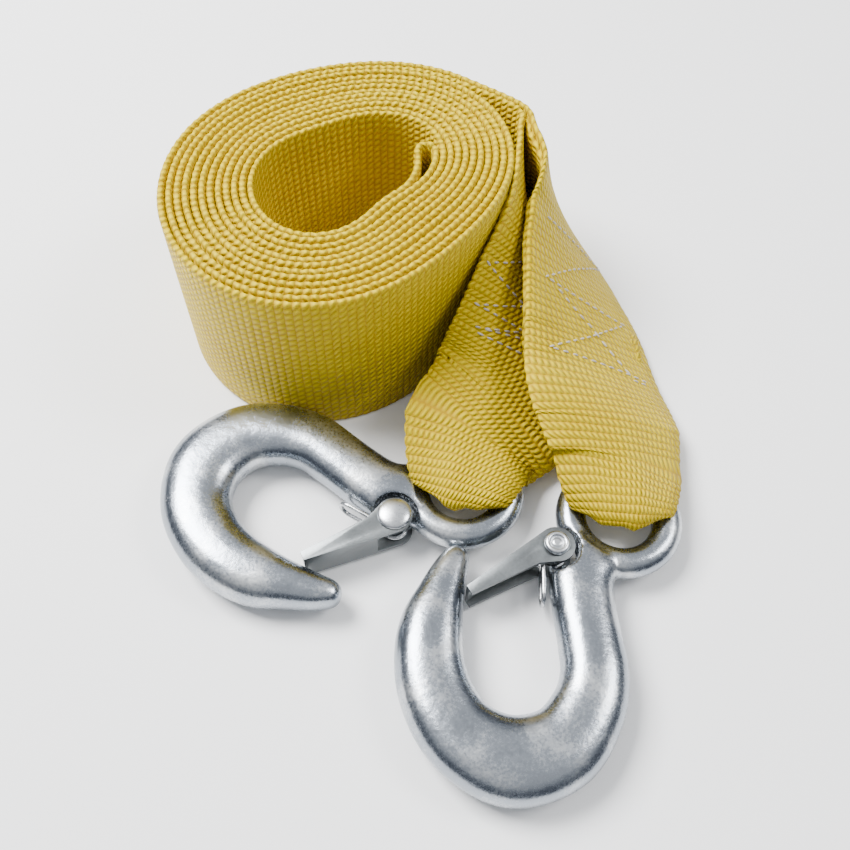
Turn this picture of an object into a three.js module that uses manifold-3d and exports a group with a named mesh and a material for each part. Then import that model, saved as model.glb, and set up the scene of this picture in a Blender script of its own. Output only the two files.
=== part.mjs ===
// A 50 mm tow strap: woven polyester webbing, doubled and wound into a coil that stands on its edge,
// with a forged eye slip hook sewn into each end. The hooks lie flat on the floor in front.
import * as THREE from 'three';
import { mergeVertices } from 'three/addons/utils/BufferGeometryUtils.js';
import Module from 'manifold-3d';

const wasm = await Module();
wasm.setup();

// Webbing
const WEB_WIDTH = 50;
const WEB_THICK = 1.85;
const PLY_GAP = 0.22;

// Coil: the two strands wind inward together, counter-clockwise seen from above
const COIL_RADIUS = 47.7;
const COIL_OVAL = 4.27;
const COIL_OVAL_ANGLE = 41;
const COIL_LOBE = 1.23;
const COIL_LOBE_ANGLE = 31;
const COIL_EXIT_ANGLE = 52;
const COIL_TURNS = 5.92;
const COIL_STEPS = 26;
const COIL_EXIT = [7.2, 219.1];
const FOLD_RADIUS = 2.5;
const FOLD_RUN = 45;
const FOLD_STEPS = 6;

// Free tails, from the coil to the eye: x and y of the middle of the webbing, its lean from upright in
// degrees, the height of its lower edge, and its width as a share of the webbing's
const RIGHT_TAIL = [
  [24.3, 208.2, 2, 0, 1],
  [30.0, 202.0, 11, 0, 1],
  [35.2, 195.6, 22, 0, 1],
  [38.4, 188.5, 30, 0, 1],
  [40.0, 180.0, 36, 0, 1],
  [41.2, 171.0, 42, 0, 1],
  [42.8, 162.0, 47.5, 0, 1],
  [44.4, 153.0, 52, 0, 1],
  [46.0, 144.0, 56, 0.8, 1],
  [48.0, 135.0, 60, 2.6, 1],
  [50.6, 126.5, 65, 5.2, 0.94],
];
const LEFT_TAIL = [
  [21.8, 206.6, 0, 0, 1],
  [24.2, 199.0, 0, 0, 1],
  [25.0, 190.5, 3, 0, 1],
  [26.4, 182.0, 10, 0, 1],
  [28.5, 174.0, 21, 0, 1],
  [29.6, 165.5, 35, 0, 1],
  [28.2, 155.5, 46, 0, 1],
  [25.6, 145.0, 54, 0.4, 1],
  [22.6, 136.5, 60, 1.6, 0.98],
  [19.6, 129.5, 65, 4.4, 0.92],
];
const RIGHT_SEWN = [1, 7];
const LEFT_SEWN = [3, 7];
const TAIL_STEPS = 3;
const TAIL_REST = 0.05;

// Loop of webbing through each eye, bunched to fit the hole
const LOOP_REACH = 14.8;
const LOOP_STEPS = 14;
const BUNCH_SHARE = 0.76;
const BUNCH_THICK = 3;
const LOOP_TOP = { height: 9.8, share: 0.66, spread: 0.25, neck: 0.75 };
const LOOP_UNDER = { height: 5.2, share: 0.4, spread: 0.02, neck: 0.38 };
const LOOP_LEAN = 68;
const FLAT_LEAN = 90;

// Hooks: where each eye lies, which way the hook's length points from bowl to eye, and where on the
// eye the webbing crosses
const RIGHT_EYE = { x: 50.6, y: 103.3, turn: 53.9, flipped: false, loopAt: 76 };
const LEFT_EYE = { x: 10.3, y: 109.4, turn: 6.6, flipped: true, loopAt: 76 };
const HOOK_THICK = 13;
const HOOK_LENGTH = 48;
const EYE_HOLE = 18;
const EYE_WIDTH = 7;
const EYE_THICK = 7.2;
const EYE_SIDES = 10;
const EYE_STEPS = 24;
const NECK_START = 0.575;
const NECK_MIDDLE = 0.6875;
const NECK_END = 0.783;
// Middle line of a hook from its tip to its eye, from the middle of the bowl: x, y, width, and
// thickness as a share of the hook's. The neck's places follow the hook's length
const HOOK_LINE = [
  [15.2, 26.6, 2.2, 0.3],
  [13.2, 26.0, 5.2, 0.5],
  [8.6, 24.8, 8.8, 0.7],
  [2.6, 22.8, 12.0, 0.86],
  [-4.0, 20.2, 15.2, 0.96],
  [-10.6, 15.9, 16.4, 1],
  [-16.6, 9.0, 17.2, 1],
  [-20.2, -1.0, 18.0, 1],
  [-17.8, -12.4, 19.6, 1],
  [-8.8, -19.6, 18.6, 1],
  [1.6, -20.0, 17.0, 1],
  [9.8, -17.0, 16.0, 1],
  [16.2, -11.6, 15.4, 0.97],
  [22.0, -6.2, 15.4, 0.93],
  [NECK_START * HOOK_LENGTH, -1.8, 16.0, 0.88],
  [NECK_MIDDLE * HOOK_LENGTH, 0.3, 17.6, 0.8],
  [NECK_END * HOOK_LENGTH, 0.4, 19.0, 0.62],
];
const POINT_ROWS = [2, 3];
const HOOK_STEPS = 2;
const HOOK_SIDES = 12;
const HOOK_SQUARENESS = 0.85;

// Latch, rivet and spring. The pivot is measured from the middle of the bowl, like the middle line
const PIVOT = [30, 7.8];
const LATCH_LENGTH = 25;
const LATCH_WIDTH = 9.6;
const LATCH_SHEET = 1.2;
const LATCH_HEAD = 4.6;
const LATCH_TIP = 1.6;
const LATCH_SEAT = 1.2;
const LATCH_OPEN_END = 6.5;
const LATCH_BROW = 0.45;
const LATCH_BROW_TURN = 1;
const LUG_THICK = 3.6;
const LUG_RADIUS = 4;
const RIVET_DIAMETER = 4.4;
const RIVET_HEAD = 8.6;
const RIVET_HEAD_HEIGHT = 1.3;
const RIVET_PEEN = 6.4;
const RIVET_PEEN_HEIGHT = 1.2;
const SPRING_WIRE = 1.1;
const SPRING_REACH = 11.5;
const SPRING_CLEARANCE = 0.35;
const SPRING_START = 246;
const SPRING_END = 485;
const SPRING_STUB = 2.5;
const SPRING_SIDES = 5;
const SPRING_STEPS = 9;
const BIGHT_STEPS = 3;
const POCKET_CLEARANCE = 1.4;
const CLEARANCE = 0.3;

const UP = new THREE.Vector3(0, 0, 1);
const radians = THREE.MathUtils.degToRad;
const mix = THREE.MathUtils.lerp;
const smooth = (value) => THREE.MathUtils.smoothstep(value, 0, 1);

// Closed surface through a list of rings that all have the same number of points
function skin(rings) {
  const count = rings[0].length;
  const points = rings.flat().flatMap((p) => [p.x, p.y, p.z]);
  const index = [];
  for (let i = 0; i + 1 < rings.length; i += 1) {
    for (let j = 0; j < count; j += 1) {
      const a = i * count + j;
      const b = i * count + ((j + 1) % count);
      index.push(a, b, a + count, b, b + count, a + count);
    }
  }
  const last = (rings.length - 1) * count;
  for (let j = 1; j + 1 < count; j += 1) {
    index.push(0, j + 1, j, last, last + j, last + j + 1);
  }
  const geometry = new THREE.BufferGeometry();
  geometry.setAttribute('position', new THREE.Float32BufferAttribute(points, 3));
  geometry.setIndex(index);
  return geometry;
}

// Solids that can be joined and cut
function solid(geometry) {
  const bare = geometry.clone();
  bare.deleteAttribute('normal');
  bare.deleteAttribute('uv');
  const merged = mergeVertices(bare, 1e-4);
  const mesh = new wasm.Mesh({
    numProp: 3,
    vertProperties: new Float32Array(merged.attributes.position.array),
    triVerts: new Uint32Array(merged.index.array),
  });
  return new wasm.Manifold(mesh);
}

function surface(body) {
  const mesh = body.getMesh();
  const geometry = new THREE.BufferGeometry();
  geometry.setAttribute('position', new THREE.Float32BufferAttribute(mesh.vertProperties, 3));
  geometry.setIndex(new THREE.Uint32BufferAttribute(mesh.triVerts, 1));
  return geometry;
}

function moved(geometry, x, y, z) {
  return geometry.clone().translate(x, y, z);
}

// Smooth curve through rows of numbers, each row a point with its own values
function through(rows, steps) {
  const at = (i) => rows[Math.min(Math.max(i, 0), rows.length - 1)];
  const result = [];
  for (let i = 0; i + 1 < rows.length; i += 1) {
    for (let k = 0; k < steps; k += 1) {
      const t = k / steps;
      result.push(rows[i].map((value, j) => {
        const before = i > 0 ? at(i - 1)[j] : 2 * value - at(1)[j];
        const next = at(i + 1)[j];
        const after = i + 2 < rows.length ? at(i + 2)[j] : 2 * next - value;
        return 0.5 * (2 * value + (next - before) * t
          + (2 * before - 5 * value + 4 * next - after) * t * t
          + (3 * value - before - 3 * next + after) * t * t * t);
      }));
    }
  }
  result.push(rows[rows.length - 1]);
  return result;
}

// Webbing stations: middle, direction of the width, share of the width, thickness
const PLY = WEB_THICK + PLY_GAP;
const PITCH = 2 * PLY;

function coilReach(angle) {
  return COIL_RADIUS - PITCH * angle / 360
    + COIL_OVAL * Math.cos(radians(2 * (angle - COIL_OVAL_ANGLE)))
    + COIL_LOBE * Math.cos(radians(3 * (angle - COIL_LOBE_ANGLE)));
}

const COIL_CENTRE = [
  COIL_EXIT[0] - coilReach(COIL_EXIT_ANGLE) * Math.cos(radians(COIL_EXIT_ANGLE)),
  COIL_EXIT[1] - coilReach(COIL_EXIT_ANGLE) * Math.sin(radians(COIL_EXIT_ANGLE)),
];

function coilStation(angle, strand, inward) {
  const reach = coilReach(angle) - WEB_THICK / 2 - strand * PLY - inward;
  const out = new THREE.Vector3(Math.cos(radians(angle)), Math.sin(radians(angle)), 0);
  return {
    middle: new THREE.Vector3(COIL_CENTRE[0], COIL_CENTRE[1], WEB_WIDTH / 2)
      .addScaledVector(out, reach),
    across: UP.clone(),
    face: out.multiplyScalar(strand === 1 ? 1 : -1),
    share: 1,
    thick: WEB_THICK,
  };
}

// Both strands of the coil and the fold at its heart, from the left tail's strand to the right tail's
function coilStations() {
  const end = COIL_EXIT_ANGLE + 360 * COIL_TURNS;
  const count = Math.round(COIL_TURNS * COIL_STEPS);
  const inner = [];
  const outer = [];
  for (let i = 0; i <= count; i += 1) {
    const angle = COIL_EXIT_ANGLE + (end - COIL_EXIT_ANGLE) * i / count;
    const tuck = (2 * FOLD_RADIUS - PLY) * smooth(1 - (end - angle) / FOLD_RUN);
    inner.push(coilStation(angle, 1, tuck));
    outer.push(coilStation(angle, 0, 0));
  }
  const out = new THREE.Vector3(Math.cos(radians(end)), Math.sin(radians(end)), 0);
  const on = new THREE.Vector3(-out.y, out.x, 0);
  const centre = outer[count].middle.clone().addScaledVector(out, -FOLD_RADIUS);
  const fold = [];
  for (let i = 1; i < FOLD_STEPS; i += 1) {
    const turn = Math.PI * i / FOLD_STEPS;
    const face = out.clone().multiplyScalar(Math.cos(turn)).addScaledVector(on, -Math.sin(turn));
    fold.push({
      middle: centre.clone().addScaledVector(face, -FOLD_RADIUS),
      across: UP.clone(),
      face,
      share: 1,
      thick: WEB_THICK,
    });
  }
  return [...inner, ...fold, ...outer.reverse()];
}

// The webbing's face is square to its width and to the way it runs
function faced(stations) {
  return stations.map((station, i) => {
    if (station.face) return station;
    const before = stations[Math.max(i - 1, 0)].middle;
    const after = stations[Math.min(i + 1, stations.length - 1)].middle;
    const run = after.clone().sub(before).normalize();
    const level = station.across ?? UP.clone();
    const across = level.clone().addScaledVector(run, -level.dot(run)).normalize();
    return { ...station, across, face: run.clone().cross(across).normalize() };
  });
}

// A leaning section of a tail, its lower edge clear of the floor by its lift and by a second ply
function leaning([x, y, lean, lift, share], way) {
  const out = Math.sin(radians(lean));
  const rise = Math.cos(radians(lean));
  const height = Math.max(lift, TAIL_REST) + (PLY + WEB_THICK / 2) * out + share * WEB_WIDTH / 2 * rise;
  const side = way.clone().cross(UP);
  const across = UP.clone().multiplyScalar(rise).addScaledVector(side, out);
  return { middle: new THREE.Vector3(x, y, height), across, side, lean, share, thick: WEB_THICK };
}

function eyeCord(eye) {
  const reach = (EYE_HOLE + EYE_WIDTH) / 2;
  return new THREE.Vector3(
    eye.x + reach * Math.cos(radians(eye.loopAt)),
    eye.y + reach * Math.sin(radians(eye.loopAt)),
    HOOK_THICK / 2,
  );
}

// The loop goes over the eye's far side, down through its hole and back under it
function loopStations(eye) {
  const cord = eyeCord(eye);
  const run = new THREE.Vector3(-Math.cos(radians(eye.loopAt)), -Math.sin(radians(eye.loopAt)), 0);
  const side = run.clone().cross(UP);
  const bunch = BUNCH_SHARE * EYE_HOLE / WEB_WIDTH;
  const loop = [];
  for (let i = 0; i <= LOOP_STEPS; i += 1) {
    const turn = Math.PI * i / LOOP_STEPS;
    const half = turn < Math.PI / 2 ? LOOP_TOP : LOOP_UNDER;
    const near = smooth((Math.sin(turn) - half.spread) / (half.neck - half.spread));
    const lean = mix(LOOP_LEAN, FLAT_LEAN, smooth(2 * i / LOOP_STEPS));
    const upward = UP.clone().multiplyScalar(Math.cos(turn)).addScaledVector(run, Math.sin(turn));
    loop.push({
      middle: cord.clone().addScaledVector(run, LOOP_REACH * Math.sin(turn))
        .addScaledVector(UP, half.height * Math.cos(turn)),
      across: side.clone().multiplyScalar(Math.sin(radians(lean)))
        .addScaledVector(upward, Math.cos(radians(lean))),
      share: mix(half.share, bunch, near),
      thick: mix(WEB_THICK, BUNCH_THICK, near),
    });
  }
  return loop;
}

// A tail from the coil to its eye, its loop, and the end that is folded back and sewn under it
function tailStations(rows, eye, sewn, strand) {
  const start = coilStation(COIL_EXIT_ANGLE, strand, 0).middle;
  const smoothed = through([[start.x, start.y, 0, 0, 1], ...rows], TAIL_STEPS);
  const loop = loopStations(eye);
  const upper = smoothed.map((row, i) => {
    const before = smoothed[Math.max(i - 1, 0)];
    const after = smoothed[Math.min(i + 1, smoothed.length - 1)];
    return leaning(row, new THREE.Vector3(after[0] - before[0], after[1] - before[1], 0).normalize());
  });
  const faces = faced([...upper, loop[0]]);
  const bottom = loop[LOOP_STEPS];
  const first = sewn[1] * TAIL_STEPS;
  const under = [];
  for (let i = upper.length - 1; i >= sewn[0] * TAIL_STEPS; i -= 1) {
    const loose = smooth((i - first) / (upper.length - first));
    const beneath = faces[i].middle.clone().addScaledVector(faces[i].face, PLY);
    const lean = radians(mix(faces[i].lean, FLAT_LEAN, loose));
    under.push({
      middle: beneath.setZ(mix(beneath.z, bottom.middle.z, loose)),
      across: UP.clone().multiplyScalar(Math.cos(lean)).addScaledVector(faces[i].side, Math.sin(lean)),
      share: mix(faces[i].share, LOOP_UNDER.share, loose),
      thick: WEB_THICK,
    });
  }
  return [...upper.slice(1), ...loop, ...under];
}

function webbing() {
  const left = tailStations(LEFT_TAIL, LEFT_EYE, LEFT_SEWN, 1).reverse();
  const right = tailStations(RIGHT_TAIL, RIGHT_EYE, RIGHT_SEWN, 0);
  const stations = faced([...left, ...coilStations(), ...right]);
  return skin(stations.map(({ middle, across, face, share, thick }) => {
    const half = share * WEB_WIDTH / 2;
    const corner = (a, f) => middle.clone().addScaledVector(across, a * half)
      .addScaledVector(face, f * thick / 2);
    return [corner(1, 1), corner(-1, 1), corner(-1, -1), corner(1, -1)];
  }));
}

// A hook's own frame: the middle of its eye, x away from the bowl, y to the side of its tip, z up
function hookBody() {
  const rows = through(HOOK_LINE, HOOK_STEPS);
  const rings = rows.map(([x, y, width, thickShare], i) => {
    const before = rows[Math.max(i - 1, 0)];
    const after = rows[Math.min(i + 1, rows.length - 1)];
    const way = Math.atan2(after[1] - before[1], after[0] - before[0]);
    const flat = Math.sin(Math.PI / 2 - Math.PI / HOOK_SIDES) ** HOOK_SQUARENESS;
    const ring = [];
    for (let k = 0; k < HOOK_SIDES; k += 1) {
      const turn = 2 * Math.PI * (k + 0.5) / HOOK_SIDES;
      const c = Math.sign(Math.cos(turn)) * Math.abs(Math.cos(turn)) ** HOOK_SQUARENESS;
      const s = Math.sign(Math.sin(turn)) * Math.abs(Math.sin(turn)) ** HOOK_SQUARENESS;
      const reach = c * width / 2;
      ring.push(new THREE.Vector3(
        x - HOOK_LENGTH - Math.sin(way) * reach,
        y + Math.cos(way) * reach,
        s / flat * Math.min(thickShare, 1) * HOOK_THICK / 2,
      ));
    }
    return ring;
  });
  const eye = new THREE.TorusGeometry((EYE_HOLE + EYE_WIDTH) / 2, EYE_WIDTH / 2, EYE_SIDES, EYE_STEPS);
  eye.scale(1, 1, EYE_THICK / EYE_WIDTH);
  const lug = new THREE.CylinderGeometry(LUG_RADIUS, LUG_RADIUS, LUG_THICK, 16).rotateX(Math.PI / 2);
  const web = new THREE.BoxGeometry(2 * LUG_RADIUS, 2 * LUG_RADIUS, LUG_THICK)
    .translate(0, -LUG_RADIUS, 0);
  const room = LATCH_HEAD + POCKET_CLEARANCE;
  const depth = HOOK_THICK;
  const pocket = new THREE.CylinderGeometry(room, room, depth, 22).rotateX(Math.PI / 2);
  const hole = new THREE.CylinderGeometry(RIVET_DIAMETER / 2 + CLEARANCE, RIVET_DIAMETER / 2 + CLEARANCE,
    2 * HOOK_THICK, 14).rotateX(Math.PI / 2);
  const [x, y] = [PIVOT[0] - HOOK_LENGTH, PIVOT[1]];
  const bore = (EYE_HOLE + EYE_WIDTH) / 2;
  let body = solid(skin(rings)).subtract(solid(new THREE.CylinderGeometry(bore, bore, 2 * HOOK_THICK, 40)
    .rotateX(Math.PI / 2)));
  body = body.add(solid(eye));
  for (const way of [1, -1]) {
    body = body.subtract(solid(moved(pocket, x, y, way * (LUG_THICK + depth) / 2)));
  }
  body = body.add(solid(moved(lug, x, y, 0))).add(solid(moved(web, x, y, 0)));
  return surface(body.subtract(solid(moved(hole, x, y, 0))));
}

// The inside edge of the hook beside one row of its middle line
function insideEdge(i) {
  const [before, row, after] = HOOK_LINE.slice(i - 1, i + 2);
  const run = new THREE.Vector2(after[0] - before[0], after[1] - before[1]).normalize();
  return new THREE.Vector2(row[0] - run.y * row[2] / 2, row[1] + run.x * row[2] / 2);
}

// The closed latch is turned until its tip meets the inside of the hook's point
function closedTurn() {
  const [start, end] = POINT_ROWS.map(insideEdge);
  const along = end.clone().sub(start).normalize();
  const seat = new THREE.Vector2(-along.y, along.x).multiplyScalar(LATCH_SEAT);
  const from = start.clone().add(seat).sub(new THREE.Vector2(...PIVOT));
  const half = from.dot(along);
  const far = -half + Math.sqrt(half ** 2 + LATCH_LENGTH ** 2 - from.lengthSq());
  return from.addScaledVector(along, far).angle();
}

// The latch's own frame: its pivot, x towards its tip, web on the -y side
function latchBody() {
  const tip = LATCH_LENGTH;
  const outline = new THREE.Shape();
  outline.moveTo(tip, -LATCH_TIP);
  outline.lineTo(tip, LATCH_TIP / 2);
  outline.lineTo(LATCH_OPEN_END, LATCH_HEAD * LATCH_BROW);
  outline.lineTo(LATCH_HEAD * Math.cos(LATCH_BROW_TURN), LATCH_HEAD * Math.sin(LATCH_BROW_TURN));
  outline.absarc(0, 0, LATCH_HEAD, LATCH_BROW_TURN, 1.5 * Math.PI, false);
  const inside = new THREE.Shape();
  inside.moveTo(-2 * LATCH_HEAD, -2 * LATCH_HEAD);
  inside.lineTo(LATCH_OPEN_END, -2 * LATCH_HEAD);
  inside.lineTo(LATCH_OPEN_END, LATCH_SHEET - mix(LATCH_HEAD, LATCH_TIP, LATCH_OPEN_END / tip));
  inside.lineTo(tip + LATCH_SHEET, LATCH_SHEET - LATCH_TIP);
  inside.lineTo(tip + LATCH_SHEET, 2 * LATCH_HEAD);
  inside.lineTo(-2 * LATCH_HEAD, 2 * LATCH_HEAD);
  const plate = (shape, depth) => new THREE.ExtrudeGeometry(shape, {
    depth,
    bevelEnabled: false,
    curveSegments: 8,
  }).translate(0, 0, -depth / 2);
  const hole = new THREE.CylinderGeometry(RIVET_DIAMETER / 2 + CLEARANCE, RIVET_DIAMETER / 2 + CLEARANCE,
    2 * LATCH_WIDTH, 14).rotateX(Math.PI / 2);
  return surface(solid(plate(outline, LATCH_WIDTH))
    .subtract(solid(plate(inside, LATCH_WIDTH - 2 * LATCH_SHEET)))
    .subtract(solid(hole)));
}

// A rivet with a domed head below and a peened end above
function rivetBody() {
  const seat = LATCH_WIDTH / 2 + CLEARANCE;
  const profile = [new THREE.Vector2(0, -seat - RIVET_HEAD_HEIGHT)];
  for (let i = 1; i <= 4; i += 1) {
    const turn = Math.PI / 2 * i / 4;
    profile.push(new THREE.Vector2(RIVET_HEAD / 2 * Math.sin(turn), -seat - RIVET_HEAD_HEIGHT * Math.cos(turn)));
  }
  profile.push(
    new THREE.Vector2(RIVET_DIAMETER / 2, -seat),
    new THREE.Vector2(RIVET_DIAMETER / 2, seat),
    new THREE.Vector2(RIVET_PEEN / 2, seat),
    new THREE.Vector2(RIVET_PEEN / 2, seat + RIVET_PEEN_HEIGHT / 2),
    new THREE.Vector2(RIVET_DIAMETER / 2, seat + RIVET_PEEN_HEIGHT),
    new THREE.Vector2(0, seat + RIVET_PEEN_HEIGHT),
  );
  return new THREE.LatheGeometry(profile, 16).rotateX(Math.PI / 2);
}

// A wire hairpin round the rivet, between the lug and both cheeks of the latch, its bight on the shank
function springBody() {
  const high = LUG_THICK / 2 + SPRING_CLEARANCE + SPRING_WIRE / 2;
  const around = RIVET_DIAMETER / 2 + SPRING_CLEARANCE + SPRING_WIRE / 2;
  const spot = (angle, along, heading, z) => new THREE.Vector3(
    around * Math.cos(radians(angle)) + along * Math.cos(radians(heading)),
    around * Math.sin(radians(angle)) + along * Math.sin(radians(heading)),
    z,
  );
  const half = [];
  half.push(spot(SPRING_START, SPRING_STUB, SPRING_START - 90, high));
  for (let i = 0; i <= SPRING_STEPS; i += 1) {
    half.push(spot(mix(SPRING_START, SPRING_END, i / SPRING_STEPS), 0, 0, high));
  }
  const level = half.length;
  half.push(spot(SPRING_END, SPRING_REACH / 2, SPRING_END + 90, high));
  for (let i = 0; i <= BIGHT_STEPS; i += 1) {
    const turn = Math.PI / 2 * i / BIGHT_STEPS;
    half.push(spot(SPRING_END, SPRING_REACH + high * Math.sin(turn), SPRING_END + 90, high * Math.cos(turn)));
  }
  const path = [...half, ...half.slice(0, -1).reverse().map((p) => new THREE.Vector3(p.x, p.y, -p.z))];
  return skin(path.map((p, i) => {
    const run = path[Math.min(i + 1, path.length - 1)].clone().sub(path[Math.max(i - 1, 0)]).normalize();
    const out = new THREE.Vector3(-Math.sin(radians(SPRING_END + 90)), Math.cos(radians(SPRING_END + 90)), 0);
    const flat = i < level || i >= path.length - level ? UP.clone() : out;
    const one = flat.addScaledVector(run, -flat.dot(run)).normalize();
    const two = run.clone().cross(one);
    const ring = [];
    for (let k = 0; k < SPRING_SIDES; k += 1) {
      const turn = 2 * Math.PI * k / SPRING_SIDES;
      ring.push(p.clone().addScaledVector(one, SPRING_WIRE / 2 * Math.cos(turn))
        .addScaledVector(two, SPRING_WIRE / 2 * Math.sin(turn)));
    }
    return ring;
  }));
}

// Materials
const yellow = new THREE.MeshStandardMaterial({ color: 0xf2c60c, roughness: 0.75, metalness: 0 });
const zinc = new THREE.MeshStandardMaterial({ color: 0xb9bdc2, roughness: 0.35, metalness: 1 });
const sheet = new THREE.MeshStandardMaterial({ color: 0x8f9398, roughness: 0.4, metalness: 1 });
const wire = new THREE.MeshStandardMaterial({ color: 0xa4a8ad, roughness: 0.3, metalness: 1 });

function piece(name, geometry, material) {
  const mesh = new THREE.Mesh(geometry, material);
  mesh.name = name;
  return mesh;
}

function hook(name, eye) {
  const assembly = new THREE.Group();
  assembly.add(piece(`${name}_hook`, hookBody(), zinc));
  const pivot = new THREE.Group();
  pivot.position.set(PIVOT[0] - HOOK_LENGTH, PIVOT[1], 0);
  const latch = piece(`${name}_latch`, latchBody(), sheet);
  latch.rotation.z = closedTurn();
  pivot.add(latch, piece(`${name}_rivet`, rivetBody(), zinc), piece(`${name}_spring`, springBody(), wire));
  assembly.add(pivot);
  assembly.rotation.order = 'ZYX';
  assembly.rotation.set(eye.flipped ? Math.PI : 0, 0, radians(eye.turn));
  assembly.position.set(eye.x, eye.y, HOOK_THICK / 2);
  return assembly;
}

// The whole strap stands on z = 0 with the middle of its footprint at the origin
const strap = new THREE.Group();
strap.add(piece('webbing_strap', webbing(), yellow), hook('right', RIGHT_EYE), hook('left', LEFT_EYE));
strap.updateMatrixWorld(true);
const box = new THREE.Box3().setFromObject(strap, true);
strap.position.set(-(box.min.x + box.max.x) / 2, -(box.min.y + box.max.y) / 2, -box.min.z);

const group = new THREE.Group();
group.add(strap);
group.updateMatrixWorld(true);
export default group;
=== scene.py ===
import math

import bmesh
import bpy
import numpy as np
from mathutils import Matrix, Vector


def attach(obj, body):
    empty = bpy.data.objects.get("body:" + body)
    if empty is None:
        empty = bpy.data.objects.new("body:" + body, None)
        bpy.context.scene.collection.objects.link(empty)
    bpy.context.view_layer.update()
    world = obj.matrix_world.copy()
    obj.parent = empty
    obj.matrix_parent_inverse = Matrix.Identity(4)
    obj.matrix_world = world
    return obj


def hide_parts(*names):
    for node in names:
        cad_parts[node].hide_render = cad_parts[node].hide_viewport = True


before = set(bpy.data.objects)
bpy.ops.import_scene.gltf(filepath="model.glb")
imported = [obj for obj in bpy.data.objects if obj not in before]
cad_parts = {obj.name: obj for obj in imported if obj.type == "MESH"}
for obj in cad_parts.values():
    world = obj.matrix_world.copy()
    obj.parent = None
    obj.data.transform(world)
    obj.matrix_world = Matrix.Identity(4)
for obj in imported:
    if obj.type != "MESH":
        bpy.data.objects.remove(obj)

bl_info = {
    "name": "Tow strap",
    "version": (1, 0, 0),
    "blender": (4, 5, 0),
    "location": "3D View > Sidebar > Tow strap",
    "description": "A coiled webbing tow strap with two forged slip hooks",
    "category": "Add Mesh",
}

MM = 0.001

# Camera: where it stands over the floor, how far it looks down, how it is turned, its lens
CAMERA_AT = (-0.00021, -0.128855, 0.21319)
CAMERA_PITCH = 58.0
CAMERA_ROLL = 2.454
CAMERA_LENS = 37.99
CAMERA_SENSOR = 36.0

# Plan of the strap, in millimetres: the plan's zero is the spot under the camera
PLAN_SHIFT = (-0.21006, -128.85536)
WEB_WIDTH = 50.0
WEB_THICK = 1.85
PLY_GAP = 0.22
PLY = WEB_THICK + PLY_GAP

# Coil: the two strands wind inward together, counter-clockwise seen from above
COIL_RADIUS = 47.7
COIL_OVAL = 4.27
COIL_OVAL_ANGLE = 41.0
COIL_LOBE = 1.23
COIL_LOBE_ANGLE = 31.0
COIL_EXIT_ANGLE = 52.0
COIL_TURNS = 5.92
COIL_STEPS = 300
COIL_EXIT = (7.2, 219.1)
FOLD_RADIUS = 2.5
FOLD_RUN = 45.0
FOLD_STEPS = 16

# Free tails: x and y of the middle of the webbing, its lean from upright in degrees, the height of its
# lower edge, and its width as a share of the webbing's
RIGHT_TAIL = (
    (24.3, 208.2, 2, 0, 1),
    (30.0, 202.0, 11, 0, 1),
    (35.2, 195.6, 22, 0, 1),
    (38.4, 188.5, 30, 0, 1),
    (40.0, 180.0, 36, 0, 1),
    (41.2, 171.0, 42, 0, 1),
    (42.8, 162.0, 47.5, 0, 1),
    (44.4, 153.0, 52, 0, 1),
    (46.0, 144.0, 56, 0.8, 1),
    (47.8, 135.0, 60, 2.6, 1),
    (49.8, 126.5, 65, 5.2, 0.93),
)
LEFT_TAIL = (
    (21.8, 206.6, 0, 0, 1),
    (24.6, 199.0, 5, 0, 1),
    (26.6, 190.5, 12, 0, 1),
    (28.4, 182.0, 20, 0, 1),
    (29.5, 174.0, 29, 0, 1),
    (29.5, 165.5, 38, 0, 0.99),
    (28.4, 155.5, 46, 0, 0.97),
    (26.2, 145.0, 53, 0.4, 0.94),
    (23.3, 136.5, 59, 1.6, 0.90),
    (20.0, 129.5, 64, 4.4, 0.86),
)
RIGHT_SEWN = (1, 7)
LEFT_SEWN = (3, 7)
TAIL_STEPS = 12
TAIL_REST = 0.05

# Loop through an eye, from over the ring to under it: distance past the middle of the ring's cord,
# height over the ring's middle plane, width as a share of the webbing's, how deep the band cups, its lean
LOOP = (
    (0.0, 9.8, 0.76, 3.0, 68),
    (5.0, 9.9, 0.66, 4.0, 76),
    (9.6, 9.5, 0.57, 4.6, 84),
    (13.4, 8.0, 0.50, 4.8, 90),
    (15.2, 5.4, 0.42, 5.0, 90),
    (12.6, 2.0, 0.27, 4.0, 90),
    (10.2, -1.2, 0.25, 3.0, 90),
    (7.0, -3.9, 0.24, 1.5, 90),
    (3.5, -5.0, 0.32, 0.3, 90),
    (0.0, -5.2, 0.40, 0.3, 90),
)
LOOP_STEPS = 8
CUP_ROWS = 4
END_SHARE = 0.95
CUP_POWER = 2.2
PLEAT_DEPTH = 1.3
PLEAT_WAVES = 2.6
PLEAT_DRIFT = 0.8
PLEAT_DRIFT_RUN = 7.0
FLAT_LEAN = 90

# Weave. WANDER is the slow rise and fall of the coil's edges: a steady share and two waves' shares
RIB_PITCH = 2.9
YARN_PITCH = 2.1
YARN_ROWS = 25
SELVEDGE_BEAD = 0.5
EDGE_WANDER = 0.55
WANDER_SHARES = (0.5, 0.22, 0.28)
WANDER_RUNS = (29.0, 47.0)
WANDER_START = 1.3
STATION_STEP = RIB_PITCH / 3
FLAT_COLUMNS = 9
EDGE_COLUMN = 0.15

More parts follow.
